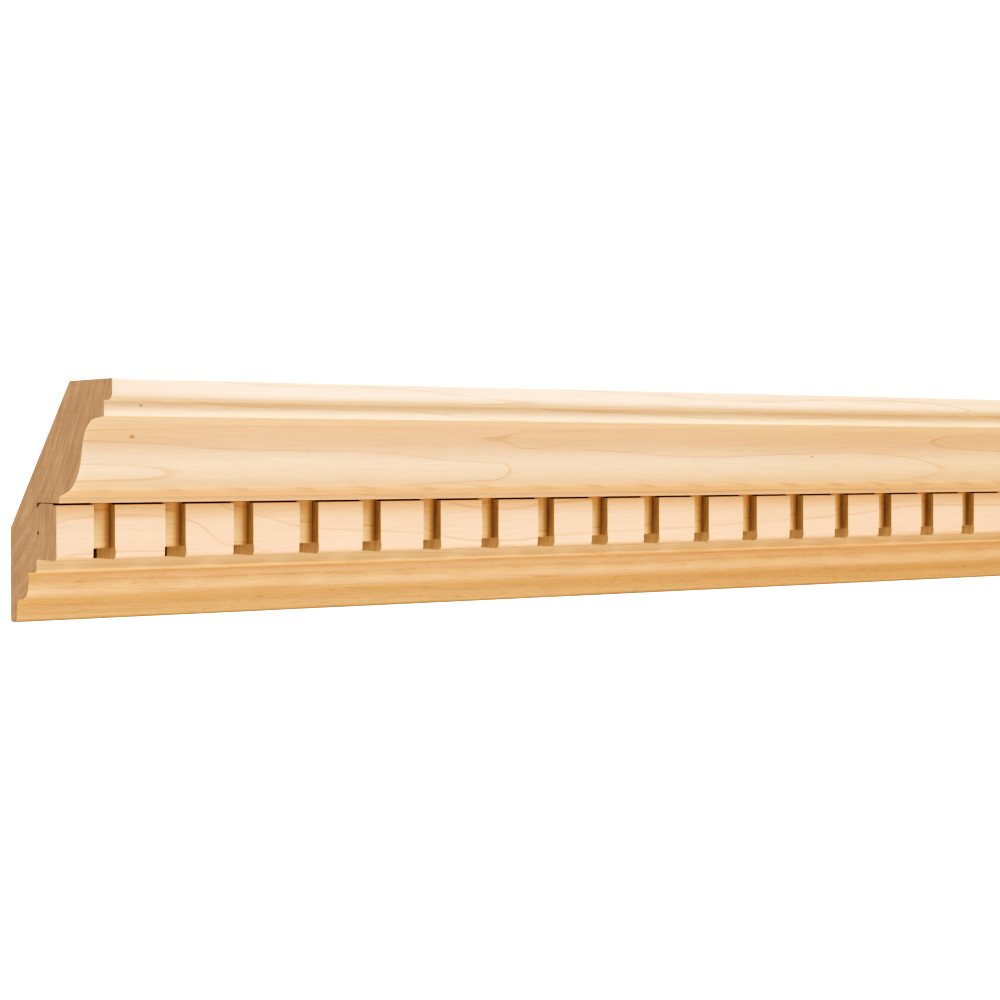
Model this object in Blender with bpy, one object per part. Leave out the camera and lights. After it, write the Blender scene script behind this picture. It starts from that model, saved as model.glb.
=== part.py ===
"""Length of sprung cornice moulding with a dentil strip, both milled from solid maple.

The moulding is shown as it is fixed in a room. X runs along its length, the wall is the plane Y = 0 with
the room towards -Y, and the ceiling touches its highest face. The origin is the middle of the face that
bears on the wall.
"""
import math

import bmesh
import bpy
from mathutils import Matrix, Vector

MM = 0.001

# Length and the places of the dentils along it, from the sawn end at -X
LENGTH = 610.0 * MM
DENTIL_PITCH = 28.78 * MM
GAP_WIDTH = 8.2 * MM
FIRST_DENTIL_WIDTH = 14.8 * MM

# Heights of the bands of the moulded face, from the ceiling downwards
TOP_FASCIA_HEIGHT = 7.6 * MM
FILLET_HEIGHT = 5.5 * MM
COVE_SOFFIT_FALL = 1.4 * MM
BODY_HEIGHT = 22.5 * MM
OGEE_FALL = 4.5 * MM
LIP_HEIGHT = 2.2 * MM
DENTIL_HEIGHT = 20.6 * MM
REVEAL_HEIGHT = 4.8 * MM
REVEAL_SOFFIT_FALL = 0.5 * MM
BEAD_HEIGHT = 9.5 * MM
BASE_SOFFIT_FALL = 0.9 * MM
BASE_HEIGHT = 8.6 * MM

# How far each band stands out past the one below it, from the wall into the room
BASE_DEPTH = 5.5 * MM
BASE_LEAN = 1.1 * MM
NECK_DEPTH = 9.85 * MM
BEAD_SWELL = 1.35 * MM
REVEAL_DEPTH = 7.75 * MM
DENTIL_DEPTH = 17.3 * MM
LIP_OVERHANG = 2.7 * MM
OGEE_DEPTH = 16.4 * MM
BODY_LEAN = 5.3 * MM
COVE_DEPTH = 15.65 * MM
TOP_FASCIA_STEP = 6.55 * MM

# Roundings of the moulded face
TOP_FASCIA_EASE = 3.0 * MM
COVE_RADIUS = 11.4 * MM
OGEE_RADIUS = 15.8 * MM
LIP_EASE = 0.4 * MM
REVEAL_EASE = 1.4 * MM
BEAD_RADIUS = 6.6 * MM
BASE_COVE_RADIUS = 3.2 * MM
BASE_EASE = 1.6 * MM
ARRIS_EASE = 0.4 * MM

# Flat faces that bear on the wall and on the ceiling; the board's back is the plane between them
WALL_BEARING = 35.4 * MM
CEILING_BEARING = 34.9 * MM
BACK_EASE = 1.2 * MM

# Dentil strip and its place in the rabbet under the lip
STRIP_SEAM = 0.4 * MM
GLUE_GAP = 0.3 * MM
NOTCH_DEPTH = 4.9 * MM
SLOT_HEIGHT = 4.15 * MM
SLOT_FLARE = 0.25 * MM
REAR_WEB = 1.3 * MM
DENTIL_NOSE_RADIUS = 2.1 * MM
STRIP_CHAMFER_DEPTH = 2.4 * MM
STRIP_CHAMFER_HEIGHT = 1.4 * MM

# Arcs are cut into steps of at most this turn; cutters pass the faces they open by this much
ARC_STEP = math.radians(9.0)
CUTTER_PASS = 3.0 * MM

# Levels below the ceiling at which the bands meet
LEVEL_FASCIA = TOP_FASCIA_HEIGHT
LEVEL_FILLET = LEVEL_FASCIA + FILLET_HEIGHT
LEVEL_COVE = LEVEL_FILLET + COVE_SOFFIT_FALL
LEVEL_OGEE = LEVEL_COVE + BODY_HEIGHT
LEVEL_LIP_TOP = LEVEL_OGEE + OGEE_FALL
LEVEL_RABBET = LEVEL_LIP_TOP + LIP_HEIGHT
LEVEL_STRIP_TOP = LEVEL_RABBET + STRIP_SEAM
LEVEL_STRIP_FOOT = LEVEL_STRIP_TOP + DENTIL_HEIGHT
LEVEL_REVEAL = LEVEL_STRIP_FOOT + REVEAL_HEIGHT
LEVEL_NECK = LEVEL_REVEAL + REVEAL_SOFFIT_FALL
LEVEL_BEAD = LEVEL_NECK + BEAD_HEIGHT
LEVEL_BASE = LEVEL_BEAD + BASE_SOFFIT_FALL
DROP = LEVEL_BASE + BASE_HEIGHT

# Distances out from the wall at which the bands stand
OUT_BASE_COVE = BASE_DEPTH + BASE_LEAN
OUT_NECK = OUT_BASE_COVE + NECK_DEPTH
OUT_BEAD = OUT_NECK + BEAD_SWELL
OUT_REVEAL = OUT_NECK + REVEAL_DEPTH
OUT_STRIP_BACK = OUT_REVEAL + GLUE_GAP
OUT_STRIP_FACE = OUT_STRIP_BACK + DENTIL_DEPTH
OUT_LIP = OUT_STRIP_FACE + LIP_OVERHANG
OUT_OGEE = OUT_LIP + OGEE_DEPTH
OUT_COVE = OUT_OGEE + BODY_LEAN
OUT_FILLET = OUT_COVE + COVE_DEPTH
PROJECTION = OUT_FILLET + TOP_FASCIA_STEP

# Height of the ceiling above the origin, which is the middle of the wall-bearing face
CEILING_LEVEL = DROP - WALL_BEARING / 2

# Outlines are drawn across the length: drawing X is world Y, drawing Y is world Z
DRAWING_TO_WORLD = Matrix(((0, 0, 1, 0), (1, 0, 0, 0), (0, 1, 0, 0), (0, 0, 0, 1)))


def clear_scene():
    """Remove what a new file starts with."""
    for existing in list(bpy.data.objects):
        bpy.data.objects.remove(existing, do_unlink=True)


def make_collection(name):
    """Add a collection to the scene."""
    collection = bpy.data.collections.new(name)
    bpy.context.scene.collection.children.link(collection)
    return collection


def make_material(name, colour, roughness):
    """Plain wood finish: a Principled BSDF with one colour and roughness."""
    material = bpy.data.materials.new(name)
    material.use_nodes = True
    shader = material.node_tree.nodes["Principled BSDF"]
    shader.inputs["Base Color"].default_value = (*colour, 1.0)
    shader.inputs["Roughness"].default_value = roughness
    shader.inputs["Metallic"].default_value = 0.0
    return material


def drawn(out, level):
    """Point of a cross drawing, from its distance off the wall and its level below the ceiling."""
    return Vector((-out, CEILING_LEVEL - level))


def corner_reaches(corners):
    """Length that each corner's rounding takes off the two edges beside it, limited by their room."""
    count = len(corners)
    wanted = []
    for index, (point, radius) in enumerate(corners):
        before = (corners[index - 1][0] - point).normalized()
        after = (corners[(index + 1) % count][0] - point).normalized()
        half_angle = before.angle(after) / 2
        wanted.append(radius / math.tan(half_angle))
    reaches = []
    for index, (point, radius) in enumerate(corners):
        reach = wanted[index]
        for neighbour in (index - 1, (index + 1) % count):
            edge = (corners[neighbour][0] - point).length
            shared = wanted[neighbour] + reach
            if shared > edge:
                reach = min(reach, edge * wanted[index] / shared)
        reaches.append(reach)
    return reaches


def rounded_outline(corners):
    """Points of a closed outline whose corners, given as (point, radius), are rounded with true arcs."""
    points = []
    count = len(corners)
    for index, reach in enumerate(corner_reaches(corners)):
        point = corners[index][0]
        if reach <= 0:
            points.append(point)
            continue
        before = (corners[index - 1][0] - point).normalized()
        after = (corners[(index + 1) % count][0] - point).normalized()
        half_angle = before.angle(after) / 2
        centre = point + (before + after).normalized() * (reach / math.cos(half_angle))
        spoke = point + before * reach - centre
        end_spoke = point + after * reach - centre
        turn = math.atan2(spoke.cross(end_spoke), spoke.dot(end_spoke))
        steps = max(2, math.ceil(abs(turn) / ARC_STEP))
        for step in range(steps + 1):
            points.append(centre + Matrix.Rotation(turn * step / steps, 2) @ spoke)
    return points


def extrude_outline(name, points, length):
    """Solid of the given length with a flat outline: a filled 2D curve, made a welded mesh."""
    curve = bpy.data.curves.new(name, "CURVE")
    curve.dimensions = "2D"
    curve.fill_mode = "BOTH"
    curve.extrude = length / 2
    spline = curve.splines.new("POLY")
    spline.points.add(len(points) - 1)
    for target, point in zip(spline.points, points):
        target.co = (point.x, point.y, 0.0, 1.0)
    spline.use_cyclic_u = True
    outline = bpy.data.objects.new(name + "_outline", curve)
    outline.matrix_world = DRAWING_TO_WORLD
    bpy.context.scene.collection.objects.link(outline)

    evaluated = outline.evaluated_get(bpy.context.evaluated_depsgraph_get())
    mesh = bpy.data.meshes.new_from_object(evaluated)
    solid = bpy.data.objects.new(name, mesh)
    solid.matrix_world = outline.matrix_world
    bpy.data.objects.remove(outline, do_unlink=True)

    welded = bmesh.new()
    welded.from_mesh(mesh)
    bmesh.ops.remove_doubles(welded, verts=welded.verts, dist=0.00001)
    bmesh.ops.recalc_face_normals(welded, faces=welded.faces)
    welded.to_mesh(mesh)
    welded.free()
    return solid


def finish_piece(piece, material, collection):
    """Put a piece in its collection, with its material and with its arcs shaded smooth."""
    mesh = piece.data
    mesh.materials.clear()
    mesh.materials.append(material)
    mesh.shade_smooth()
    mesh.set_sharp_from_angle(angle=math.radians(25.0))
    collection.objects.link(piece)


def board_corners():
    """Corners of the board's cross-section, from the ceiling's front edge down and back to it."""
    return [
        (drawn(PROJECTION, 0.0), ARRIS_EASE),
        (drawn(PROJECTION, LEVEL_FASCIA), TOP_FASCIA_EASE),
        (drawn(OUT_FILLET, LEVEL_FASCIA), 0.0),
        (drawn(OUT_FILLET, LEVEL_FILLET), ARRIS_EASE),
        (drawn(OUT_COVE, LEVEL_COVE), COVE_RADIUS),
        (drawn(OUT_OGEE, LEVEL_OGEE), OGEE_RADIUS),
        (drawn(OUT_LIP, LEVEL_LIP_TOP), LIP_EASE),
        (drawn(OUT_LIP, LEVEL_RABBET), LIP_EASE),
        (drawn(OUT_REVEAL, LEVEL_RABBET), 0.0),
        (drawn(OUT_REVEAL, LEVEL_REVEAL), REVEAL_EASE),
        (drawn(OUT_NECK, LEVEL_NECK), ARRIS_EASE),
        (drawn(OUT_BEAD, LEVEL_BEAD), BEAD_RADIUS),
        (drawn(OUT_BASE_COVE, LEVEL_BASE), BASE_COVE_RADIUS),
        (drawn(BASE_DEPTH, DROP), BASE_EASE),
        (drawn(0.0, DROP), BACK_EASE),
        (drawn(0.0, DROP - WALL_BEARING), BACK_EASE),
        (drawn(PROJECTION - CEILING_BEARING, 0.0), ARRIS_EASE),
    ]


def strip_corners():
    """Corners of the dentil strip's cross-section, with its chamfered inner edge and rounded nose."""
    return [
        (drawn(OUT_STRIP_FACE, LEVEL_STRIP_TOP), 0.0),
        (drawn(OUT_STRIP_FACE, LEVEL_STRIP_FOOT), DENTIL_NOSE_RADIUS),
        (drawn(OUT_STRIP_BACK, LEVEL_STRIP_FOOT), ARRIS_EASE),
        (drawn(OUT_STRIP_BACK, LEVEL_STRIP_TOP + STRIP_CHAMFER_HEIGHT), 0.0),
        (drawn(OUT_STRIP_BACK + STRIP_CHAMFER_DEPTH, LEVEL_STRIP_TOP), 0.0),
    ]


def gap_centres():
    """Places along X of the middles of all gaps that open fully within the length."""
    centres = []
    start = -LENGTH / 2 + FIRST_DENTIL_WIDTH
    while start + GAP_WIDTH < LENGTH / 2:
        centres.append(start + GAP_WIDTH / 2)
        start += DENTIL_PITCH
    return centres


def make_gap_cutters(name, width, out_range, level_range, collection):
    """One cutting tool with a block at each gap, between two distances off the wall and two levels."""
    near, far = (drawn(out, level) for out, level in zip(out_range, level_range))
    size = Vector((width, abs(far.x - near.x), abs(far.y - near.y)))
    blocks = bmesh.new()
    for centre in gap_centres():
        middle = Vector((centre, (near.x + far.x) / 2, (near.y + far.y) / 2))
        place = Matrix.Translation(middle) @ Matrix.Diagonal((*size, 1.0))
        bmesh.ops.create_cube(blocks, size=1.0, matrix=place)
    mesh = bpy.data.meshes.new(name)
    blocks.to_mesh(mesh)
    blocks.free()
    cutter = bpy.data.objects.new(name, mesh)
    cutter.hide_render = True
    cutter.display_type = "WIRE"
    collection.objects.link(cutter)
    return cutter


def cut(piece, cutter):
    """Take a cutter's blocks out of a piece."""
    modifier = piece.modifiers.new(cutter.name, "BOOLEAN")
    modifier.operation = "DIFFERENCE"
    modifier.solver = "EXACT"
    modifier.object = cutter


def make_crown_board(parts):
    """Board that carries every band of the moulding and the rabbet for the dentils."""
    wood = make_material("maple_board", (0.80, 0.60, 0.38), 0.5)
    board = extrude_outline("crown_board", rounded_outline(board_corners()), LENGTH)
    finish_piece(board, wood, parts)
    return board


def make_dentil_strip(parts, cutters):
    """Strip set in the rabbet, notched into dentils, with a deeper slot at the foot of each gap."""
    wood = make_material("maple_dentils", (0.83, 0.64, 0.43), 0.5)
    strip = extrude_outline("dentil_strip", rounded_outline(strip_corners()), LENGTH)
    notches = make_gap_cutters(
        "notch_cutter", GAP_WIDTH,
        (OUT_STRIP_FACE - NOTCH_DEPTH, OUT_STRIP_FACE + CUTTER_PASS),
        (LEVEL_STRIP_TOP - CUTTER_PASS, LEVEL_STRIP_FOOT + CUTTER_PASS), cutters)
    slots = make_gap_cutters(
        "slot_cutter", GAP_WIDTH + 2 * SLOT_FLARE,
        (OUT_STRIP_BACK + REAR_WEB, OUT_STRIP_FACE + CUTTER_PASS),
        (LEVEL_STRIP_FOOT - SLOT_HEIGHT, LEVEL_STRIP_FOOT + CUTTER_PASS), cutters)
    cut(strip, notches)
    cut(strip, slots)
    finish_piece(strip, wood, parts)
    return strip


def main():
    """Build both pieces and stand them under one empty."""
    clear_scene()
    parts = make_collection("cornice_moulding")
    cutters = make_collection("cutters")
    wall_middle = bpy.data.objects.new("wall_face_middle", None)
    parts.objects.link(wall_middle)
    for piece in (make_crown_board(parts), make_dentil_strip(parts, cutters)):
        piece.parent = wall_middle


main()
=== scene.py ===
"""Dresses a length of sprung cornice moulding: a milled maple board and the notched dentil strip on it.

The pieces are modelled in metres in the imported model's own frame: X runs along the moulding, the room
lies towards -Y and the ceiling is above. Cross-sections are given as distances out from the wall and
levels below the ceiling. Sizes of sections, figure and finish are in millimetres.
"""

import logging
import math
from collections.abc import Callable
from dataclasses import dataclass
from enum import Enum

import bmesh
import bpy
from bmesh.types import BMEdge, BMesh, BMFace, BMVert
from bpy.types import Material, Node, NodeSocket, NodeTree, Object, Scene
from mathutils import Matrix, Vector, noise


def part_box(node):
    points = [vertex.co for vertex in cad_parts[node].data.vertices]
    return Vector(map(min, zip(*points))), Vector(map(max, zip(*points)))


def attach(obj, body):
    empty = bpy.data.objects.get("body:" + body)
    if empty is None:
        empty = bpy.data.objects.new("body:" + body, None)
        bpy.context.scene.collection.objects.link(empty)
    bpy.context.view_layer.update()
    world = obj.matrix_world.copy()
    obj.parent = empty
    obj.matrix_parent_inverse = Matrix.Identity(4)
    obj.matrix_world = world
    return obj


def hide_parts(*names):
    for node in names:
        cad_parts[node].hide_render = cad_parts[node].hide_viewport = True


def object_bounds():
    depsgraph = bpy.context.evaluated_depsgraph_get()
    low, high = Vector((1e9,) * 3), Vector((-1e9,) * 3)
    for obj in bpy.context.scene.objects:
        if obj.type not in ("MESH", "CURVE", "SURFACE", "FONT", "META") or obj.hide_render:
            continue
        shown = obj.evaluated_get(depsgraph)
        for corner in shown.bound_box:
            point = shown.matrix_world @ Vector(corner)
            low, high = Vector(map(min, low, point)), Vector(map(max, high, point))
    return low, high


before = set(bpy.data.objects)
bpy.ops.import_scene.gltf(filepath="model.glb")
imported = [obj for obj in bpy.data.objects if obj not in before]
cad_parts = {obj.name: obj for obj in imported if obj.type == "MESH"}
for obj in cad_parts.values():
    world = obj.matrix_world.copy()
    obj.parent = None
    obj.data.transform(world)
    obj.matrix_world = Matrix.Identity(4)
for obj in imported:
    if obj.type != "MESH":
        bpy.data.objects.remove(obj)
CAD_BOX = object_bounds()

MM = 0.001
LOG = logging.getLogger("cornice")

# White, which a layer of tone leaves as it is, and black, the value of an empty mask
PLAIN = "FFFFFF"
BLACK = "000000"
# In metres: places this close are the same, a cut this close to a corner goes through it, and points
# this close to a sawn end stay in its plane
SAME_PLACE = 1e-6
CUT_REACH = 1e-7
END_ZONE = 1e-4
# How far a face has to look along an axis, of one, to count as square to it or as end grain
SQUARE = 0.9
END_GRAIN = 0.7
# Edges that turn by more than this many degrees stay sharp
SHARP_ANGLE = 20.0
# In mm along the strip: the first dentil's width, the notches' pitch and a notch's width
FIRST_DENTIL = 14.8
PITCH = 28.78
GAP = 8.2
# Setting of a MapRange that eases in and out
SOFT = {"interpolation_type": "SMOOTHSTEP"}
# The least base of a power, and the number of the curve that works on red, green and blue alike
LEAST = 1e-6
COMBINED = 3

# Three numbers; of a pattern, its sizes in mm along the moulding, out from the wall and down
Triple = tuple[float, float, float]
# Says whether a place in the model's frame is chosen
Rule = Callable[[Vector], bool]


class Grain(Enum):
    """Which way a surface cuts the fibres of the wood."""

    LONG = "long"
    END = "end"


def linear(code: str) -> tuple[float, float, float, float]:
    """Turn an sRGB hex colour into the linear colour that shaders take.

    Args:
        code: Six hex digits, such as "F2DAB8".

    Returns:
        Linear red, green and blue, and an alpha of one.
    """
    channels = []
    for start in (0, 2, 4):
        value = int(code[start:start + 2], 16) / 255
        channels.append(value / 12.92 if value <= 0.04045 else ((value + 0.055) / 1.055) ** 2.4)
    return (*channels, 1.0)


def add_node(tree: NodeTree, kind: str, inputs: dict | tuple = (),
             stops: tuple[tuple[float, str], ...] = (), **settings: object) -> Node:
    """Add one node to a shader, with its settings, its inputs and the stops of its colour ramp.

    Args:
        tree: The node tree that gets the node.
        kind: The node's Blender type, without the ShaderNode that each begins with.
        inputs: Values, sockets or nodes, in the order of the inputs or by name; a node gives its first
            output. A MapRange takes its value and the ends of the ranges that it goes from and to.
        stops: Places from zero to one and hex colours, for a node that has a colour ramp.
        **settings: Properties of the node itself, such as operation.

    Returns:
        The new node.
    """
    node = tree.nodes.new("ShaderNode" + kind)
    for name, value in settings.items():
        setattr(node, name, value)
    for key, value in inputs.items() if isinstance(inputs, dict) else enumerate(inputs):
        if isinstance(value, Node):
            value = value.outputs[0]
        if isinstance(value, NodeSocket):
            tree.links.new(value, node.inputs[key])
        else:
            node.inputs[key].default_value = value
    for index, (position, code) in enumerate(stops):
        elements = node.color_ramp.elements
        stop = elements[index] if index < 2 else elements.new(position)
        stop.position = position
        stop.color = linear(code)
    return node


@dataclass(frozen=True)
class RingFigure:
    """Growth rings of one piece: circles round a pith line that drifts slowly along the length.

    The rings are solid in space, so the long lines and pointed loops on the moulded face and the fine
    arcs on the sawn end are cuts through the same wood.
    """

    pith_out: float
    pith_level: float
    ring_width: float
    phase: float
    drift: tuple[tuple[float, float], ...]
    wobble: float
    drift_span: float = 8.0
    sway_size: Triple = (60.0, 14.0, 14.0)
    ripple_size: Triple = (22.0, 4.0, 4.0)

    def phase_nodes(self, tree: NodeTree, place: "PlaceSockets") -> Node:
        """Build the nodes that count rings outwards from the pith.

        Args:
            tree: The node tree.
            place: The point's place.

        Returns:
            A node whose value grows by one from each ring to the next.
        """
        out = add_node(tree, "Math", (place.out, self.pith_out), operation="SUBTRACT")
        level = add_node(tree, "Math", (place.level, self.pith_level), operation="SUBTRACT")
        spoke = add_node(tree, "CombineXYZ", {"X": out, "Y": level})
        radius = add_node(tree, "VectorMath", (spoke,), operation="LENGTH").outputs["Value"]

        share = add_node(tree, "Math", (place.along, place.length), operation="DIVIDE")
        curve = add_node(tree, "FloatCurve", {"Value": share})
        points = curve.mapping.curves[0].points
        points[0].location = (0.0, self.drift[0][1] / self.drift_span)
        points[1].location = (1.0, self.drift[-1][1] / self.drift_span)
        for along, shift in self.drift[1:-1]:
            points.new(along / place.length, shift / self.drift_span)
        curve.mapping.update()
        drift = add_node(tree, "Math", (curve, -self.drift_span, radius), operation="MULTIPLY_ADD")

        sway = place.noise(tree, self.sway_size, 2.0)
        swayed = add_node(tree, "Math", (sway, 2 * self.wobble, drift), operation="MULTIPLY_ADD")
        ripple = place.noise(tree, self.ripple_size, 3.0)
        rippled = add_node(tree, "Math", (ripple, 0.5 * self.wobble, swayed), operation="MULTIPLY_ADD")
        counted = add_node(tree, "Math", (rippled, self.ring_width), operation="DIVIDE")
        return add_node(tree, "Math", (counted, self.phase), operation="ADD")


@dataclass(frozen=True)
class PlaceSockets:
    """Where a shaded point lies in the moulding, as sockets in mm, and the moulding's length and drop."""

    along: NodeSocket
    out: NodeSocket
    level: NodeSocket
    position: NodeSocket
    length: float
    drop: float

    @classmethod
    def read(cls, tree: NodeTree) -> "PlaceSockets":
        """Build the nodes that read a point's place from its object coordinates.

        Args:
            tree: The node tree.

        Returns:
            The sockets.
        """
        low, high = CAD_BOX
        coordinates = add_node(tree, "TexCoord").outputs["Object"]
        start = add_node(tree, "VectorMath", (coordinates, (low[0], high[1], high[2])),
                         operation="SUBTRACT")
        turned = add_node(tree, "VectorMath", (start, (1 / MM, -1 / MM, -1 / MM)), operation="MULTIPLY")
        split = add_node(tree, "SeparateXYZ", (turned,))
        return cls(split.outputs["X"], split.outputs["Y"], split.outputs["Z"], turned.outputs[0],
                   (high[0] - low[0]) / MM, (high[2] - low[2]) / MM)

    def noise(self, tree: NodeTree, lengths: Triple, detail: float) -> NodeSocket:
        """Build noise whose blobs have the given length, depth and height in mm.

        Args:
            tree: The node tree.
            lengths: Size of one blob along the grain, out from the wall and down, in mm.
            detail: Number of finer octaves.

        Returns:
            A socket with noise about zero, mostly within half a unit.
        """
        scaled = add_node(tree, "VectorMath", (self.position, lengths), operation="DIVIDE")
        blobs = add_node(tree, "TexNoise",
                         {"Vector": scaled, "Scale": 1.0, "Detail": detail, "Roughness": 0.55})
        return add_node(tree, "Math", (blobs, 0.5), operation="SUBTRACT").outputs[0]


@dataclass(frozen=True)
class Spot:
    """A pin knot or a void, a little longer along the grain than across it, with a soft rim."""

    along: float
    out: float
    level: float
    radius: float
    stretch: float = 1.3
    core: float = 0.3

    def mask(self, tree: NodeTree, place: PlaceSockets) -> Node:
        """Mask the spot.

        Args:
            tree: The node tree.
            place: The point's place.

        Returns:
            Node that is one in the spot's core and zero round it.
        """
        offset = add_node(tree, "VectorMath",
                          (place.position, (self.along, self.out, self.level)), operation="SUBTRACT")
        squeezed = add_node(tree, "VectorMath",
                            (offset, (self.stretch * self.radius, self.radius, self.radius)),
                            operation="DIVIDE")
        away = add_node(tree, "VectorMath", (squeezed,), operation="LENGTH").outputs["Value"]
        return add_node(tree, "MapRange", (away, self.core, 1.0, 1.0, 0.0), **SOFT)


def layer_tones(tree: NodeTree, colour: NodeSocket, layers: list[tuple[Node, str]]) -> NodeSocket:
    """Darken a colour by tones, one after the other, each where its mask says.

    Args:
        tree: The node tree.
        colour: Socket with the colour to start from.
        layers: Masks and the hex tones that they let through.

    Returns:
        Socket with the colour that comes out.
    """
    for mask, tone in layers:
        mixed = add_node(tree, "Mix", {"Factor": mask, "A": colour, "B": linear(tone)},
                         data_type="RGBA", blend_type="MULTIPLY")
        colour = mixed.outputs["Result"]
    return colour


@dataclass(frozen=True)
class MapleFinish:
    """Hard maple, planed and moulded, left unfinished.

    Maple is a pale, close, diffuse-porous wood: its ground is nearly even, each growth ring ends in a
    thin reddish line, and its pores show only as faint short flecks along the grain. Sawn across, the
    same wood takes in light and looks brown, with the bands inside the rings as arcs under saw marks.
    """

    name: str
    figure: RingFigure
    # Levels in mm and colours of the ground, which carry painted light and shade band by band as well as the
    # wood's tone
    grounds_with_painted_light: tuple[tuple[float, str], ...]
    far_tone: str
    end_ground: str
    late_tone: str = "FAF7F2"
    line_tone: str = "EAD7BF"
    warm_tone: str = "FDFAF7"
    fleck_tone: str = "EFE5D4"
    end_arc_tone: str = "ECE7DF"
    end_grit: str = "B59B84"
    pin_tone: str = "D9C4AC"
    # Tones painted as light and shade: the foot, notch, corner and wall tones are painted shade, the slot's
    # painted light
    foot_shade_tone: str = PLAIN
    notch_shade_tone: str = PLAIN
    corner_shade_tone: str = PLAIN
    wall_shade_ground: str = PLAIN
    slot_light_ground: str = PLAIN
    pins: tuple[Spot, ...] = ()
    voids: tuple[Spot, ...] = ()
    line_strength: float = 0.6
    late_strength: float = 0.5
    # Where the tone changes, in mm along, out from the wall or below the ceiling
    far_reach: tuple[float, float] = (180.0, 430.0)
    foot_shade_levels: tuple[float, float] = (76.0, 82.0)
    pore_levels: tuple[float, float] = (69.0, 73.0)
    notch_outs: tuple[float, float] = (38.0, 41.2)
    wall_outs: tuple[float, float] = (36.8, 41.2)
    slot_level: float = 60.4
    # Sizes of the patterns along the fibres, and the step of the moulder's cutter, in mm
    fade_size: Triple = (50.0, 9.0, 9.0)
    cloud_size: Triple = (120.0, 9.0, 9.0)
    pore_size: Triple = (4.5, 0.38, 0.38)
    fibre_size: Triple = (24.0, 0.6, 0.6)
    mottle_size: Triple = (1.5, 1.0, 1.0)
    cutter_step: float = 1.6
    # How often the arcs on a sawn end vary per mm, and sizes of its other patterns, in mm
    arc_rate: Triple = (0.05, 0.045, 0.045)
    kerf_size: Triple = (4.0, 1.1, 26.0)
    crossed_size: Triple = (4.0, 26.0, 0.9)
    end_cloud_size: Triple = (30.0, 10.0, 10.0)
    grit_size: Triple = (1.5, 0.5, 0.5)
    # Gloss of the shader
    long_specular: float = 0.85
    long_roughness: float = 0.2
    long_ior: float = 1.45
    end_specular: float = 0.25
    end_roughness: float = 0.85
    end_ior: float = 1.4

    def material(self, grain: Grain) -> Material:
        """Make the material for one way of cutting the fibres.

        Args:
            grain: Along or across the fibres.

        Returns:
            The material.
        """
        material = bpy.data.materials.new(f"{self.name}_{grain.value}_grain")
        material.use_nodes = True
        tree = material.node_tree
        place = PlaceSockets.read(tree)
        count = self.figure.phase_nodes(tree, place)
        if grain is Grain.LONG:
            self.dress_long_grain(tree, place, count)
        else:
            self.dress_end_grain(tree, place, count)
        return material

    def dress_long_grain(self, tree: NodeTree, place: PlaceSockets, count: Node) -> None:
        """Colour, gloss and relief of a surface planed along the fibres.

        Args:
            tree: The node tree.
            place: The point's place.
            count: Node that counts the rings.
        """
        # The ground is set band by band from the ceiling side to the foot: the wood's tone with painted
        # light and shade, lighter on bands the light misses, darker and yellower on shaded ones
        depth = add_node(tree, "Math", (place.level, place.drop), operation="DIVIDE")
        ground = add_node(tree, "ValToRGB", {"Fac": depth},
                          stops=tuple((level / place.drop, code) for level, code in self.grounds_with_painted_light))
        layers = self.planed_layers(tree, place, count)
        # Painted shade: the foot is darker and yellower, as the light falls off towards it
        if self.foot_shade_tone != PLAIN:
            foot = add_node(tree, "MapRange", (place.level, *self.foot_shade_levels), **SOFT)
            layers.append((foot, self.foot_shade_tone))
        if self.notch_shade_tone != PLAIN:
            layers += self.notch_layers(tree, place)
        layers += [(pin.mask(tree, place), self.pin_tone) for pin in self.pins]
        colour = layer_tones(tree, ground.outputs["Color"], layers)
        # Fibres half a millimetre across, drawn a little coarser than they are so that they show
        fibres = place.noise(tree, self.fibre_size, 3.0)
        streak = add_node(tree, "Math", (fibres, 0.24, 1.0), operation="MULTIPLY_ADD")
        streaked = add_node(tree, "VectorMath", {0: colour, "Scale": streak}, operation="SCALE")
        # Planed maple has a soft sheen that varies with its fibres
        gloss = add_node(tree, "Math", (fibres, 0.2, self.long_roughness), operation="MULTIPLY_ADD")
        # The moulder's cutter left small waves across the length, under the raised fibres
        waves = add_node(tree, "Math", (place.along, 2 * math.pi / self.cutter_step), operation="MULTIPLY")
        marks = add_node(tree, "Math", (waves,), operation="SINE")
        relief = add_node(tree, "Math", (marks, 0.05, fibres), operation="MULTIPLY_ADD")
        bump = add_node(tree, "Bump", {"Height": relief, "Strength": 0.12, "Distance": 0.15 * MM})

        shader = tree.nodes["Principled BSDF"]
        tree.links.new(streaked.outputs[0], shader.inputs["Base Color"])
        tree.links.new(gloss.outputs[0], shader.inputs["Roughness"])
        tree.links.new(bump.outputs[0], shader.inputs["Normal"])
        shader.inputs["IOR"].default_value = self.long_ior
        shader.inputs["Specular IOR Level"].default_value = self.long_specular

    def planed_layers(self, tree: NodeTree, place: PlaceSockets, count: Node) -> list[tuple[Node, str]]:
        """Tone the wood by its rings, by its pores, and from one part of the tree to the next.

        Args:
            tree: The node tree.
            place: The point's place.
            count: Node that counts the rings.

        Returns:
            Masks and their tones.
        """
        within = add_node(tree, "Math", (count,), operation="FRACT")
        late = add_node(tree, "MapRange", (within, 0.35, 1.0, 0.0, self.late_strength), **SOFT)
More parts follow.
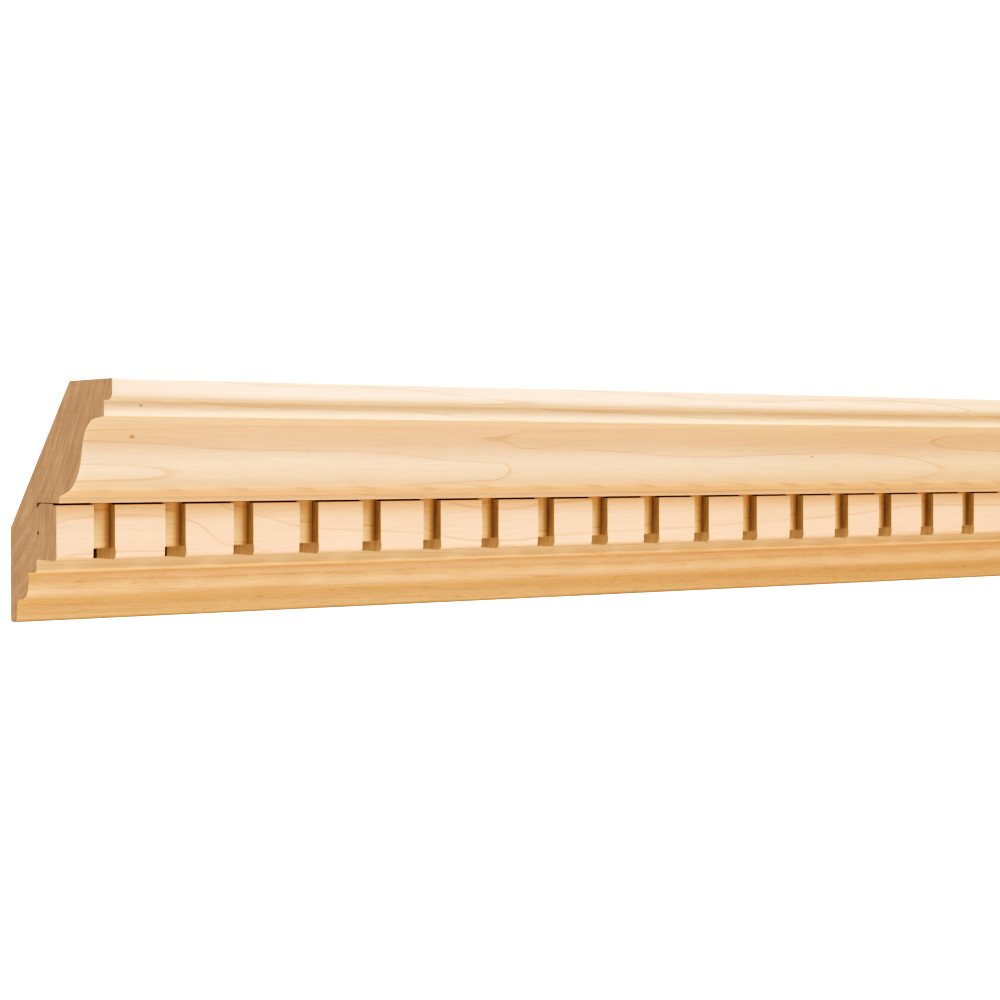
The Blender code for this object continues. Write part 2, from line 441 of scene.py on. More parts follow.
        # The ring's last fibres make a line a quarter of a millimetre thick, wider where the cut slants
        line = add_node(tree, "ValToRGB", {"Fac": within},
                        stops=((0.90, BLACK), (0.96, PLAIN), (0.985, PLAIN), (1.0, BLACK)))
        fading = place.noise(tree, self.fade_size, 2.0)
        kept = add_node(tree, "MapRange",
                        (fading, -0.15, 0.15, 0.3 * self.line_strength, self.line_strength))
        drawn = add_node(tree, "Math", (line, kept), operation="MULTIPLY")
        # Slow change of tone between parts of the tree, as broad soft bands along the length
        clouds = place.noise(tree, self.cloud_size, 2.0)
        band = add_node(tree, "MapRange", (clouds, -0.18, 0.22))
        # Pores and short dark fibres: flecks 4 mm long and a third of a millimetre wide, closer at the foot
        pores = place.noise(tree, self.pore_size, 2.0)
        most = add_node(tree, "MapRange", (place.level, *self.pore_levels, 0.5, 1.1))
        fleck = add_node(tree, "MapRange", (pores, 0.03, 0.25, 0.0, most))
        far = add_node(tree, "MapRange", (place.along, *self.far_reach), **SOFT)
        return [(late, self.late_tone), (drawn, self.line_tone), (band, self.warm_tone),
                (fleck, self.fleck_tone), (far, self.far_tone)]

    def notch_layers(self, tree: NodeTree, place: PlaceSockets) -> list[tuple[Node, str]]:
        """Tone the floors of the notches with painted shade: yellower all over, darker towards both corners,
        and mottled in patches.

        Args:
            tree: The node tree.
            place: The point's place.

        Returns:
            Masks and their tones.
        """
        sunk = add_node(tree, "MapRange", (place.out, *self.notch_outs, 1.0, 0.0), **SOFT)
        mottle = place.noise(tree, self.mottle_size, 2.0)
        rough = add_node(tree, "MapRange", (mottle, -0.1, 0.2))
        mottled = add_node(tree, "Math", (rough, sunk), operation="MULTIPLY")
        # Painted shade: the floor darkens towards both corners of a notch, along its walls
        passed = add_node(tree, "Math", (place.along, FIRST_DENTIL), operation="SUBTRACT")
        across = add_node(tree, "Math", (passed, PITCH), operation="FLOORED_MODULO")
        beside = add_node(tree, "Math", (across, 0.5 * GAP), operation="SUBTRACT")
        aside = add_node(tree, "Math", (beside,), operation="ABSOLUTE")
        corner = add_node(tree, "MapRange", (aside, 0.15 * GAP, 0.5 * GAP), **SOFT)
        corner_shade = add_node(tree, "Math", (corner, sunk), operation="MULTIPLY")
        return [(sunk, self.notch_shade_tone), (mottled, self.notch_shade_tone), (corner_shade, self.corner_shade_tone)]

    def dress_end_grain(self, tree: NodeTree, place: PlaceSockets, count: Node) -> None:
        """Colour, gloss and relief of a surface sawn across the fibres.

        Args:
            tree: The node tree.
            place: The point's place.
            count: Node that counts the rings.
        """
        in_notch, in_slot = self.cut_masks(tree, place)
        # Painted light and shade: the notches' walls get a yellower ground as painted shade, the slots'
        # walls a paler one as painted light
        colour = linear(self.end_ground)
        for mask, tone in ((in_slot, self.slot_light_ground), (in_notch, self.wall_shade_ground)):
            mixed = add_node(tree, "Mix", {"Factor": mask, "A": colour, "B": linear(tone)}, data_type="RGBA")
            colour = mixed.outputs["Result"]
        layers = self.sawn_layers(tree, place, count)
        layers += [(void.mask(tree, place), self.pin_tone) for void in self.voids]
        if self.corner_shade_tone != PLAIN:
            # Painted shade: the walls of the notches darken, the more the deeper in
            deep = add_node(tree, "MapRange", (place.out, *self.wall_outs, 1.0, 0.0))
            corner_shade = add_node(tree, "Math", (deep, in_notch), operation="MULTIPLY")
            layers.append((corner_shade, self.corner_shade_tone))
        colour = layer_tones(tree, colour, layers)
        clouds = place.noise(tree, self.end_cloud_size, 2.0)
        tone = add_node(tree, "Math", (clouds, 0.3, 1.06), operation="MULTIPLY_ADD")
        toned = add_node(tree, "VectorMath", {0: colour, "Scale": tone}, operation="SCALE")
        # Torn fibre ends, half a millimetre across, pale and standing up a little
        grit = place.noise(tree, self.grit_size, 2.0)
        speck = add_node(tree, "MapRange", (grit, 0.0, 0.25, 0.0, 0.4))
        specked = add_node(tree, "Mix", {"Factor": speck, "A": toned, "B": linear(self.end_grit)},
                           data_type="RGBA")
        bump = add_node(tree, "Bump", {"Height": grit, "Strength": 0.5, "Distance": 0.3 * MM})

        shader = tree.nodes["Principled BSDF"]
        tree.links.new(specked.outputs["Result"], shader.inputs["Base Color"])
        tree.links.new(bump.outputs[0], shader.inputs["Normal"])
        shader.inputs["Roughness"].default_value = self.end_roughness
        shader.inputs["IOR"].default_value = self.end_ior
        shader.inputs["Specular IOR Level"].default_value = self.end_specular

    def sawn_layers(self, tree: NodeTree, place: PlaceSockets, count: Node) -> list[tuple[Node, str]]:
        """Tone a sawn end by the bands inside its rings and by the saw's marks.

        Args:
            tree: The node tree.
            place: The point's place.
            count: Node that counts the rings.

        Returns:
            Masks and their tones.
        """
        # Noise that changes fast from ring to ring and slowly round them, so it makes arcs
        around = add_node(tree, "VectorMath", (place.position, self.arc_rate), operation="MULTIPLY")
        outward = add_node(tree, "Math", (count, 1.4), operation="MULTIPLY")
        lifted = add_node(tree, "CombineXYZ", {"X": outward})
        arc_place = add_node(tree, "VectorMath", (around, lifted), operation="ADD")
        arcs = add_node(tree, "TexNoise",
                        {"Vector": arc_place, "Scale": 1.0, "Detail": 2.0, "Roughness": 0.6})
        arc = add_node(tree, "MapRange", (arcs, 0.38, 0.62))
        # The saw's kerf marks, near upright on the end and faintly crossed by a second pass
        kerfs = place.noise(tree, self.kerf_size, 1.0)
        crossed = place.noise(tree, self.crossed_size, 1.0)
        scored = add_node(tree, "Math", (crossed, 0.6, kerfs), operation="MULTIPLY_ADD")
        score = add_node(tree, "MapRange", (scored, -0.1, 0.25, 0.0, 0.5))
        return [(arc, self.end_arc_tone), (score, self.end_arc_tone)]

    def cut_masks(self, tree: NodeTree, place: PlaceSockets) -> tuple[Node, Node]:
        """Mask the walls of the notches and slots, which are cut across the grain between the ends.

        Args:
            tree: The node tree.
            place: The point's place.

        Returns:
            Node that is one on the notches' walls, and node that is one on the slots' walls.
        """
        left = add_node(tree, "Math", (place.length, place.along), operation="SUBTRACT")
        nearer = add_node(tree, "Math", (place.along, left), operation="MINIMUM")
        inside = add_node(tree, "MapRange", (nearer, 0.5, 1.0))
        low = add_node(tree, "MapRange", (place.level, self.slot_level - 0.2, self.slot_level + 0.2))
        in_slot = add_node(tree, "Math", (low, inside), operation="MULTIPLY")
        return add_node(tree, "Math", (inside, in_slot), operation="SUBTRACT"), in_slot


@dataclass(frozen=True)
class GlueAndShadeFinish:
    """Dark brown fill, matt and darker in lumps: dried wood glue in the open joint, the fill of the slack
    corner, and painted shade on the slots' backs.
    """

    name: str = "glue_and_painted_shade"
    ground: str = "3E2716"
    lump: str = "1E1209"
    lump_size: Triple = (7.0, 1.5, 1.5)
    roughness: float = 0.7

    def material(self) -> Material:
        """Make the glue's material.

        Returns:
            The material.
        """
        material = bpy.data.materials.new(self.name)
        material.use_nodes = True
        tree = material.node_tree
        shader = tree.nodes["Principled BSDF"]
        place = PlaceSockets.read(tree)
        lumps = place.noise(tree, self.lump_size, 2.0)
        share = add_node(tree, "MapRange", (lumps, -0.1, 0.15))
        colour = add_node(tree, "Mix", {"Factor": share, "A": linear(self.ground), "B": linear(self.lump)},
                          data_type="RGBA")
        tree.links.new(colour.outputs["Result"], shader.inputs["Base Color"])
        shader.inputs["Roughness"].default_value = self.roughness
        bump = add_node(tree, "Bump", {"Height": lumps, "Strength": 0.4, "Distance": 0.2 * MM})
        tree.links.new(bump.outputs[0], shader.inputs["Normal"])
        return material


@dataclass(frozen=True)
class Corner:
    """Corner of a cross-section: distance out from the wall, level below the ceiling, rounding radius."""

    out: float
    level: float
    radius: float = 0.0


@dataclass
class Section:
    """Closed cross-section with rounded corners, in flat steps of a few degrees each."""

    corners: list[Corner]
    arc_step: float = 4.0

    def place(self, corner: Corner, along: float) -> Vector:
        """Return the corner's point in metres at a distance along X."""
        _, high = CAD_BOX
        return Vector((along, high[1] - corner.out * MM, high[2] - corner.level * MM))

    def face(self, shape: BMesh, along: float) -> BMFace:
        """Draw the section as one face and round its corners.

        Args:
            shape: The mesh to draw in.
            along: Place along X, in metres.

        Returns:
            The face.
        """
        points = [self.place(corner, along) for corner in self.corners]
        verts = [shape.verts.new(point) for point in points]
        shape.faces.new(verts)
        count = len(points)
        for index, corner in enumerate(self.corners):
            if corner.radius <= 0:
                continue
            before = points[index - 1] - points[index]
            after = points[(index + 1) % count] - points[index]
            half_angle = before.angle(after) / 2
            turn = 180.0 - math.degrees(2 * half_angle)
            bmesh.ops.bevel(shape, geom=[verts[index]], offset=corner.radius * MM / math.tan(half_angle),
                            offset_type="OFFSET", segments=max(3, round(turn / self.arc_step)),
                            profile=0.5, affect="VERTICES", material=-1)
        shape.faces.ensure_lookup_table()
        return shape.faces[0]


@dataclass
class CrownBoard:
    """The milled board: every band of the moulding, from the ceiling down to its foot on the wall."""

    finish: MapleFinish
    top_fascia_height: float = 7.6
    fillet_height: float = 5.5
    cove_soffit_fall: float = 1.4
    body_height: float = 22.5
    ogee_fall: float = 4.5
    lip_height: float = 2.2
    rabbet_height: float = 21.0
    reveal_height: float = 4.8
    reveal_soffit_fall: float = 0.5
    bead_height: float = 9.5
    base_soffit_fall: float = 0.9
    base_height: float = 8.6
    base_depth: float = 5.5
    base_lean: float = 1.1
    neck_depth: float = 9.85
    bead_swell: float = 1.35
    reveal_depth: float = 7.75
    lip_depth: float = 20.3
    ogee_depth: float = 16.4
    body_lean: float = 5.3
    cove_depth: float = 15.65
    top_fascia_step: float = 6.55
    wall_bearing: float = 35.4
    ceiling_bearing: float = 34.9
    arris: float = 0.4
    fascia_round: float = 3.0
    fillet_root: float = 0.3
    cove_radius: float = 11.4
    ogee_radius: float = 15.8
    reveal_root: float = 1.4
    bead_radius: float = 6.6
    base_cove: float = 3.2
    foot_round: float = 1.6
    wall_arris: float = 1.2
    station: float = 5.0
    sawn_ease: float = 0.14
    unevenness: float = 0.05
    unevenness_size: float = 35.0

    def corners(self) -> list[Corner]:
        """Return the corners of the section, from the ceiling's front edge down and back up to it."""
        fascia = self.top_fascia_height
        fillet = fascia + self.fillet_height
        cove = fillet + self.cove_soffit_fall
        ogee = cove + self.body_height
        lip = ogee + self.ogee_fall
        rabbet = lip + self.lip_height
        reveal = rabbet + self.rabbet_height + self.reveal_height
        neck = reveal + self.reveal_soffit_fall
        bead = neck + self.bead_height
        base = bead + self.base_soffit_fall
        drop = base + self.base_height

        out_base = self.base_depth + self.base_lean
        out_neck = out_base + self.neck_depth
        out_reveal = out_neck + self.reveal_depth
        out_lip = out_reveal + self.lip_depth
        out_ogee = out_lip + self.ogee_depth
        out_cove = out_ogee + self.body_lean
        out_fillet = out_cove + self.cove_depth
        projection = out_fillet + self.top_fascia_step
        return [
            Corner(projection, 0.0, self.arris),
            Corner(projection, fascia, self.fascia_round),
            Corner(out_fillet, fascia, self.fillet_root),
            Corner(out_fillet, fillet, self.arris),
            Corner(out_cove, cove, self.cove_radius),
            Corner(out_ogee, ogee, self.ogee_radius),
            Corner(out_lip, lip, self.arris),
            Corner(out_lip, rabbet, self.arris),
            Corner(out_reveal, rabbet),
            Corner(out_reveal, reveal, self.reveal_root),
            Corner(out_neck, neck, self.arris),
            Corner(out_neck + self.bead_swell, bead, self.bead_radius),
            Corner(out_base, base, self.base_cove),
            Corner(self.base_depth, drop, self.foot_round),
            Corner(0.0, drop, self.wall_arris),
            Corner(0.0, drop - self.wall_bearing, self.wall_arris),
            Corner(projection - self.ceiling_bearing, 0.0, self.arris),
        ]

    def build(self) -> Object:
        """Model the board and dress it.

        Returns:
            The piece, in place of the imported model's plain board.
        """
        low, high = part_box("crown_board")
        length = high[0] - low[0]
        shape = bmesh.new()
        section = Section(self.corners()).face(shape, low[0])
        grown = bmesh.ops.extrude_face_region(shape, geom=[section])["geom"]
        moved = [item for item in grown if isinstance(item, BMVert)]
        bmesh.ops.translate(shape, verts=moved, vec=(length, 0, 0))
        bmesh.ops.recalc_face_normals(shape, faces=shape.faces)
        rims = [edge for edge in shape.edges
                if any(all(abs(v.co.x - end) < SAME_PLACE for v in edge.verts) for end in (low[0], high[0]))]
        ease_edges(shape, rims, self.sawn_ease * MM)
        long_edges = [edge for edge in shape.edges
                      if abs(edge.verts[0].co.x - edge.verts[1].co.x) > length / 2]
        bmesh.ops.subdivide_edges(shape, edges=long_edges, cuts=round(length / MM / self.station),
                                  use_grid_fill=True)
        roughen(shape, self.unevenness * MM, self.unevenness_size * MM)
        for face in shape.faces:
            face.smooth = True
        piece = finish_piece(shape, "milled_board", [self.finish.material(grain) for grain in Grain])
        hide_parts("crown_board")
        return piece


@dataclass(frozen=True)
class StripPlanes:
    """Where the strip's faces and cuts lie in the model's frame, in metres."""

    left: float
    right: float
    back: float
    rear: float
    notch_back: float
    slit_back: float
    front: float
    foot: float
    web_foot: float
    slit: float
    top: float
    gap: float
    flare: float
    starts: tuple[float, ...]

    def in_gap(self, place: Vector, margin: float = 0.0) -> bool:
        """Say whether a place lies, along X, in a gap widened by a margin."""
        return any(start - margin < place.x < start + self.gap + margin for start in self.starts)

    def in_slot(self, place: Vector) -> bool:
        """Say whether a place lies in the slot at the foot of a gap."""
        return self.in_gap(place, self.flare) and place.z < self.web_foot


@dataclass
class DentilStrip:
    """The strip in the rabbet: a block cut by notches into dentils, with a slot at each gap's foot."""

    finish: MapleFinish
    glue_and_shade: GlueAndShadeFinish = GlueAndShadeFinish()
    notch_depth: float = 4.9
    slot_height: float = 4.15
    slot_flare: float = 0.25
    rear_web: float = 1.3
    nose: float = 2.1
    corner_depth: float = 3.6
    corner_height: float = 2.0
    top_lift: float = 0.22
    back_reach: float = 0.22
    slit_depth: float = 2.9
    slit_height: float = 0.5
    edge_ease: float = 0.22
    crisp_angle: float = 60.0
    glue_and_shade_margin: float = 0.1
    unevenness: float = 0.04
    unevenness_size: float = 10.0
    station: float = 4.0
    rows: int = 5

    def planes(self) -> StripPlanes:
        """Return where the strip's faces and cuts lie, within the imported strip's box and its joint."""
        low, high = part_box("dentil_strip")
        back, front = high[1] + self.back_reach * MM, low[1]
        foot, top = low[2], high[2] + self.top_lift * MM
        starts = []
        start = low[0] + FIRST_DENTIL * MM
        while start + GAP * MM < high[0]:
            starts.append(start)
            start += PITCH * MM
        return StripPlanes(
            left=low[0], right=high[0], back=back, rear=back - self.rear_web * MM,
            notch_back=front + self.notch_depth * MM, slit_back=front + self.slit_depth * MM, front=front,
            foot=foot, web_foot=foot + self.slot_height * MM, slit=top - self.slit_height * MM, top=top,
            gap=GAP * MM, flare=self.slot_flare * MM, starts=tuple(starts))

    def build(self) -> Object:
        """Model the strip and dress it.

        Returns:
            The piece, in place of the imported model's plain strip.
        """
        planes = self.planes()
        shape = self.cut_web(planes)
        self.pull_dentils(shape, planes)
        corner = Vector((planes.front, planes.foot))
        nose_edges = [edge for edge in shape.edges
                      if all(max(map(abs, v.co.yz - corner)) < SAME_PLACE for v in edge.verts)]
        noses = bmesh.ops.bevel(shape, geom=nose_edges, offset=self.nose * MM, offset_type="OFFSET",
                                segments=8, profile=0.5, affect="EDGES", material=-1)["faces"]
        for face in shape.faces:
            face.smooth = face in noses
        filled = self.filled_corner(shape, planes)
        crisp = [edge for edge in shape.edges if len(edge.link_faces) == 2
                 and edge.calc_face_angle() > math.radians(self.crisp_angle) and edge.is_convex]
        ease_edges(shape, crisp, self.edge_ease * MM)
        roughen(shape, self.unevenness * MM, self.unevenness_size * MM)
        self.mark_glue_and_shade(shape, planes, filled)
        woods = [self.finish.material(grain) for grain in Grain]
        piece = finish_piece(shape, "notched_dentil_strip", [*woods, self.glue_and_shade.material()])
        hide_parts("dentil_strip")
        return piece

    def cut_web(self, planes: StripPlanes) -> BMesh:
        """Model the web behind the notches, cut by lines where the dentils and slots begin and end.

        Args:
            planes: Where the faces and cuts lie.

        Returns:
            The mesh.
        """
        shape = bmesh.new()
        middle = Vector(((planes.left + planes.right) / 2, (planes.back + planes.rear) / 2,
                         (planes.foot + planes.top) / 2))
        size = Matrix.Diagonal((planes.right - planes.left, planes.back - planes.rear,
                                planes.top - planes.foot, 1.0))
        bmesh.ops.create_cube(shape, size=1.0, matrix=Matrix.Translation(middle) @ size)
        gap, flare = planes.gap, planes.flare
        cuts_along = sorted(edge for start in planes.starts
                            for edge in (start - flare, start, start + gap, start + gap + flare))
        # Even lines between the cuts, for the unevenness of the faces
        for start, end in zip([planes.left, *cuts_along], [*cuts_along, planes.right]):
            steps = max(1, round((end - start) / (self.station * MM)))
            for step in range(1, steps):
                cut_plane(shape, (start + (end - start) * step / steps, 0, 0), (1, 0, 0))
        for edge in cuts_along:
            cut_plane(shape, (edge, 0, 0), (1, 0, 0))
        step = (planes.top - planes.web_foot) / self.rows
        for row in range(self.rows):
            cut_plane(shape, (0, 0, planes.web_foot + step * row), (0, 0, 1))
        cut_plane(shape, (0, 0, planes.slit), (0, 0, 1))
        return shape

    def pull_dentils(self, shape: BMesh, planes: StripPlanes) -> None:
        """Bring the web forward to the notches' floors, and then the dentils, but not over the slit.

        Args:
            shape: The mesh of the web.
            planes: Where the faces and cuts lie.
        """
        pull_forward(shape, planes.rear, planes.front - planes.rear + self.notch_depth * MM,
                     lambda c: not planes.in_slot(c))
        pull_forward(shape, planes.notch_back, planes.slit_back - planes.notch_back,
                     lambda c: not planes.in_gap(c) and not planes.in_slot(c))
        pull_forward(shape, planes.slit_back, planes.front - planes.slit_back,
                     lambda c: c.z < planes.slit)
        bmesh.ops.recalc_face_normals(shape, faces=shape.faces)

    def filled_corner(self, shape: BMesh, planes: StripPlanes) -> Rule:
        """Cut a line round the strip's slack upper corner in the rabbet, which is filled flush with the dark
        material.

        Args:
            shape: The mesh of the strip.
            planes: Where the faces and cuts lie.

        Returns:
            Rule that chooses the places in the corner.
        """
        depth, height = self.corner_depth * MM, self.corner_height * MM
        foot = Vector((0, planes.back, planes.top - height))
        slant = Vector((0, height, depth)).normalized()
        cut_plane(shape, foot, slant)
        return lambda c: (c - foot).dot(slant) > 0

    def mark_glue_and_shade(self, shape: BMesh, planes: StripPlanes, filled: Rule) -> None:
        """Give the dark material to the slack corner, to the slit as glue, and to the slots' backs as
        painted shade.

        Args:
            shape: The mesh of the strip.
            planes: Where the faces and cuts lie.
            filled: Rule that chooses the places in the slack corner.
        """
        margin = self.glue_and_shade_margin * MM
        for face in shape.faces:
            centre = face.calc_center_median()
            in_slit = (centre.z > planes.slit - margin
                       and planes.front + margin < centre.y < planes.slit_back + margin)
            # Painted shade: the slots' backs take the dark material
            slot_back_shade = abs(centre.y - planes.rear) < margin and centre.z < planes.web_foot
            if in_slit or slot_back_shade or filled(centre):
                face.material_index = 2


def cut_plane(shape: BMesh, point: tuple, normal: tuple) -> None:
    """Cut a line of edges round a whole mesh where a plane crosses it.

    Args:
        shape: The mesh.
        point: A point of the plane, in metres.
        normal: The plane's normal.
    """
    everything = [*shape.verts, *shape.edges, *shape.faces]
    bmesh.ops.bisect_plane(shape, geom=everything, dist=CUT_REACH, plane_co=point, plane_no=normal)


def pull_forward(shape: BMesh, plane: float, shift: float, chosen: Rule) -> None:
    """Extrude the faces that look into the room on one plane, where a rule picks them.

    Args:
        shape: The mesh.
        plane: The faces' place along Y, in metres.
        shift: How far they move along Y, in metres.
        chosen: Rule that takes a face's middle and says whether the face moves.
    """
    faces = []
    for face in shape.faces:
        centre = face.calc_center_median()
        if abs(centre.y - plane) < SAME_PLACE and abs(face.normal.y) > SQUARE and chosen(centre):
            faces.append(face)
    grown = bmesh.ops.extrude_face_region(shape, geom=faces)["geom"]
    moved = [item for item in grown if isinstance(item, BMVert)]
    bmesh.ops.translate(shape, verts=moved, vec=(0, shift, 0))
    shape.normal_update()


def ease_edges(shape: BMesh, edges: list[BMEdge], width: float) -> None:
    """Take the sharpness off edges, as a little sandpaper does.

    Args:
        shape: The mesh.
        edges: The edges.
        width: How far from each edge the rounding begins, in metres.
    """
    bmesh.ops.bevel(shape, geom=edges, offset=width, offset_type="OFFSET", segments=2, profile=0.5,
                    affect="EDGES", clamp_overlap=True, material=-1)


def roughen(shape: BMesh, depth: float, size: float) -> None:
    """Sink each point a little, by slow noise, so that no face is perfectly true.

    Args:
        shape: The mesh.
        depth: The most that a point sinks, in metres.
        size: Distance over which the noise changes, in metres.
    """
    shape.normal_update()
    low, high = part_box("crown_board")
    for vert in shape.verts:
        at_end = min(vert.co.x - low[0], high[0] - vert.co.x) < END_ZONE
        amount = 0.5 + 0.5 * noise.noise(vert.co / size)
        direction = vert.normal.copy()
        if at_end:
            direction.x = 0.0
        vert.co -= direction * depth * max(0.0, min(1.0, amount))


def finish_piece(shape: BMesh, name: str, materials: list[Material]) -> Object:
    """Turn a mesh into a dressed piece that rides on the model's one body.

    Args:
        shape: The finished mesh, which is freed.
        name: The piece's name.
        materials: Its materials, long grain first and end grain next.

    Returns:
        The piece.
    """
    for face in shape.faces:
        if abs(face.normal.x) > END_GRAIN and face.material_index == 0:
            face.material_index = 1
    smooth = [face.smooth for face in shape.faces]
    mesh = bpy.data.meshes.new(name)
    shape.to_mesh(mesh)
    shape.free()
    for material in materials:
        mesh.materials.append(material)
    mesh.set_sharp_from_angle(angle=math.radians(SHARP_ANGLE))
    mesh.polygons.foreach_set("use_smooth", smooth)
    piece = bpy.data.objects.new(name, mesh)
    bpy.context.scene.collection.objects.link(piece)
    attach(piece, "root")
    LOG.info("%s: %d faces", name, len(mesh.polygons))
    return piece


@dataclass(frozen=True)
class SoftLight:
    """A patch of the sky that glows: brightest one way and fading around it."""

    way: Triple
    colour: str
    strength: float
    tightness: float

    def glow(self, tree: NodeTree, direction: NodeSocket) -> Node:
        """Build the nodes that give the patch's glow in one direction.

        Args:
            tree: The world's node tree.
            direction: Socket with the direction looked in.

        Returns:
            Node with the glow's colour.
        """
        way = Vector(self.way).normalized()
        facing = add_node(tree, "VectorMath", (direction, way), operation="DOT_PRODUCT")
        ahead = add_node(tree, "Math", (facing.outputs["Value"], LEAST), operation="MAXIMUM")
        faded = add_node(tree, "Math", (ahead, self.tightness), operation="POWER")
        colour = Vector(linear(self.colour)[:3]) * self.strength
        return add_node(tree, "VectorMath", {0: colour, "Scale": faded}, operation="SCALE")


@dataclass(frozen=True)
class FilmResponse:
    """How the picture turns light into tone: deep in the shade, and rounding off softly towards white."""

    contrast: float = 1.6
    shoulder: float = 0.4
    stops: tuple[float, ...] = (0.03, 0.07, 0.13, 0.2, 0.3, 0.42, 0.56, 0.75)

    def tone(self, light: float) -> float:
        """Return the tone that one amount of light gives, both from zero to one."""
        raised = light ** self.contrast
        return (1 + self.shoulder) * raised / (raised + self.shoulder)

    def apply(self, scene: Scene) -> None:
        """Set the scene's colour curve to this response."""
        view = scene.view_settings
        view.view_transform = "Standard"
        view.use_curve_mapping = True
        mapping = view.curve_mapping
        mapping.use_clip = True
        mapping.extend = "HORIZONTAL"
        for light in self.stops:
            mapping.curves[COMBINED].points.new(light, self.tone(light))
        mapping.update()


@dataclass
class Studio:
    """Camera, pale floor, soft light and the picture's response."""

    camera_place: Triple = (-0.6213, -0.7564, 0.0432)
    heading: float = 35.66
    pitch: float = -1.079
    lens: float = 76.6
    sensor: float = 36.0
    floor_drop: float = 0.5
    floor_size: float = 60.0
    floor_paint: str = "FAFAF8"
    floor_glow: float = 0.5
    backdrop_glow: float = 1.5
    lights: tuple[SoftLight, ...] = (
        SoftLight(way=(0.54, -0.766, 0.643), colour="FBFDFF", strength=13.5, tightness=22.0),
        SoftLight(way=(-0.45, -0.43, -0.78), colour="FFDDAF", strength=2.2, tightness=3.0),
        SoftLight(way=(-0.9, 0.35, 0.2), colour="FFFCF8", strength=1.4, tightness=4.0),
        SoftLight(way=(0.4, 0.8, 0.5), colour="FFFCF8", strength=1.6, tightness=2.0),
        SoftLight(way=(0.0, 0.0, 1.0), colour="FFFFFF", strength=0.14, tightness=0.0),
    )
    response: FilmResponse = FilmResponse()

    def build(self) -> None:
        """Set up the camera, the floor, the light and the picture's response."""
        self.add_camera()
        self.add_floor()
        self.add_light()
        self.response.apply(bpy.context.scene)

    def add_camera(self) -> None:
        """Place the camera in front of the moulding's left end, looking along it."""
        data = bpy.data.cameras.new("camera")
        data.lens = self.lens
        data.sensor_width = self.sensor
        camera = bpy.data.objects.new("camera", data)
        camera.location = self.camera_place
        camera.rotation_euler = (math.radians(90 + self.pitch), 0.0, -math.radians(self.heading))
        bpy.context.scene.collection.objects.link(camera)
        bpy.context.scene.camera = camera

    def add_floor(self) -> None:
        """Lay a floor of matt white board, pale and without gloss, well below the moulding."""
        shape = bmesh.new()
        low, _ = CAD_BOX
        place = Matrix.Translation((0.0, 0.0, low[2] - self.floor_drop))
        bmesh.ops.create_grid(shape, x_segments=8, y_segments=8, size=self.floor_size / 2, matrix=place)
        mesh = bpy.data.meshes.new("floor")
        shape.to_mesh(mesh)
        shape.free()
        paint = bpy.data.materials.new("matt_white_board")
        paint.use_nodes = True
        shader = paint.node_tree.nodes["Principled BSDF"]
        shader.inputs["Base Color"].default_value = linear(self.floor_paint)
        shader.inputs["Roughness"].default_value = 1.0
        shader.inputs["Emission Color"].default_value = linear(PLAIN)
        shader.inputs["Emission Strength"].default_value = self.floor_glow
        mesh.materials.append(paint)
        floor = bpy.data.objects.new("floor", mesh)
        floor.visible_diffuse = False
        floor.visible_glossy = False
        floor.visible_shadow = False
        bpy.context.scene.collection.objects.link(floor)

    def add_light(self) -> None:
        """Wrap the scene in soft light, with a plain white sky for the camera alone."""
        world = bpy.data.worlds.new("studio")
        world.use_nodes = True
        tree = world.node_tree
        tree.nodes.clear()
        direction = add_node(tree, "TexCoord").outputs["Generated"]
        total = None
        for light in self.lights:
            glow = light.glow(tree, direction)
            total = glow if total is None else add_node(tree, "VectorMath", (total, glow), operation="ADD")
        lit = add_node(tree, "Background", {"Color": total, "Strength": 1.0})
        plain = add_node(tree, "Background", {"Color": linear(PLAIN), "Strength": self.backdrop_glow})
        rays = add_node(tree, "LightPath")
        mixed = add_node(tree, "MixShader", (rays.outputs["Is Camera Ray"], lit, plain))
        add_node(tree, "OutputWorld", {"Surface": mixed})
        bpy.context.scene.world = world


BOARD_FIGURE = RingFigure(
    pith_out=-87.6, pith_level=-73.5, ring_width=2.72, phase=0.002,
    drift=((0.0, 0.0), (28.0, 0.2), (40.0, 0.5), (50.0, 0.75), (70.0, 0.95), (112.0, 1.05),
           (160.0, 2.3), (182.0, 2.58), (189.0, 3.2), (194.0, 3.37), (206.0, 3.44), (214.0, 3.47),
           (244.0, 3.8), (287.0, 4.5), (350.0, 3.9), (390.0, 3.95), (415.0, 4.6), (450.0, 5.9),
           (520.0, 6.4), (610.0, 7.6)), wobble=0.16)

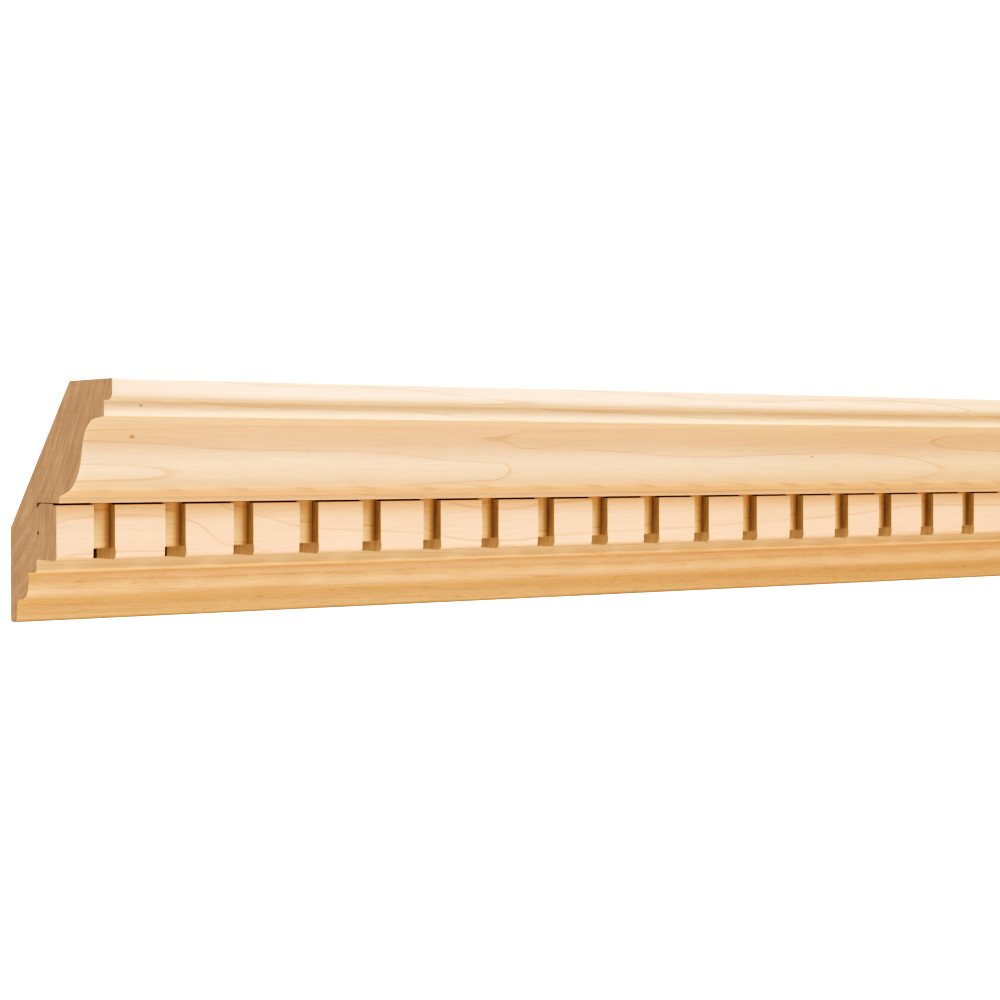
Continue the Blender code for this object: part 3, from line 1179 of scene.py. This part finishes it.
STRIP_FIGURE = RingFigure(
    pith_out=-154.0, pith_level=16.0, ring_width=2.6, phase=0.68,
    drift=((0.0, 0.53), (14.0, 0.18), (42.0, 0.18), (54.0, 0.53), (70.0, 2.43), (81.0, 2.78),
           (110.0, 3.85), (158.0, 4.4), (197.0, 5.27), (225.0, 4.9), (285.0, 4.55), (350.0, 4.08),
           (400.0, 3.6), (445.0, 3.0), (610.0, 4.7)), wobble=0.1)

BOARD_MAPLE = MapleFinish(
    name="hard_maple_board", figure=BOARD_FIGURE,
    # Stops of the ground carry painted light and shade: the reveal face under the dentils lighter, the neck
    # and the foot's lower edge darker
    grounds_with_painted_light=((2.0, "E0CDBF"), (6.5, "E5D5CB"), (12.0, "F3E2D3"), (14.4, "EED8CD"), (20.0, "E9D0C3"),
             (22.8, "E9D1C3"), (28.6, "E9D8CD"), (35.0, "EBD8CE"), (37.9, "F0DACE"), (40.2, "EACBB6"),
             (42.6, "EFD4BE"), (66.0, "FCEAD7"), (70.4, "EFCBAA"), (71.4, "E7C497"),
             (74.3, "EDCDAD"), (78.0, "F0CFBB"), (87.6, "F1D0BC"), (88.7, "BC9973")),
    # The foot's tone is painted shade
    far_tone="FCF8F0", foot_shade_tone="E7E1C6", end_ground="A68B73",
    pins=(Spot(18.5, 65.3, 19.8, 1.2), Spot(14.0, 81.9, 9.2, 0.8), Spot(353.0, 63.3, 26.6, 0.7)))

DENTIL_MAPLE = MapleFinish(
    name="hard_maple_dentils", figure=STRIP_FIGURE,
    # The dentils' tops are darker and yellower: painted shade under the lip
    grounds_with_painted_light=((45.0, "E7C3A2"), (51.0, "E7C9B5"), (62.0, "E7C6B3")),
    # The notch and corner tones are painted shade in the notches
    far_tone="FDFBF7", notch_shade_tone="FFFDE7", corner_shade_tone="CBC2B1", end_ground="A58A71",
    # The wall ground is painted shade, the slot ground painted light
    wall_shade_ground="AA9363", slot_light_ground="BCA481", pin_tone="76654B",
    voids=(Spot(0.0, 25.6, 54.8, 1.1),), late_strength=0.35)


def main() -> None:
    """Build the studio and both pieces, and report each."""
    logging.basicConfig(level=logging.INFO, format="%(name)s: %(message)s")
    Studio().build()
    for part in (CrownBoard(BOARD_MAPLE), DentilStrip(DENTIL_MAPLE)):
        part.build()


if __name__ == "__main__":
    main()
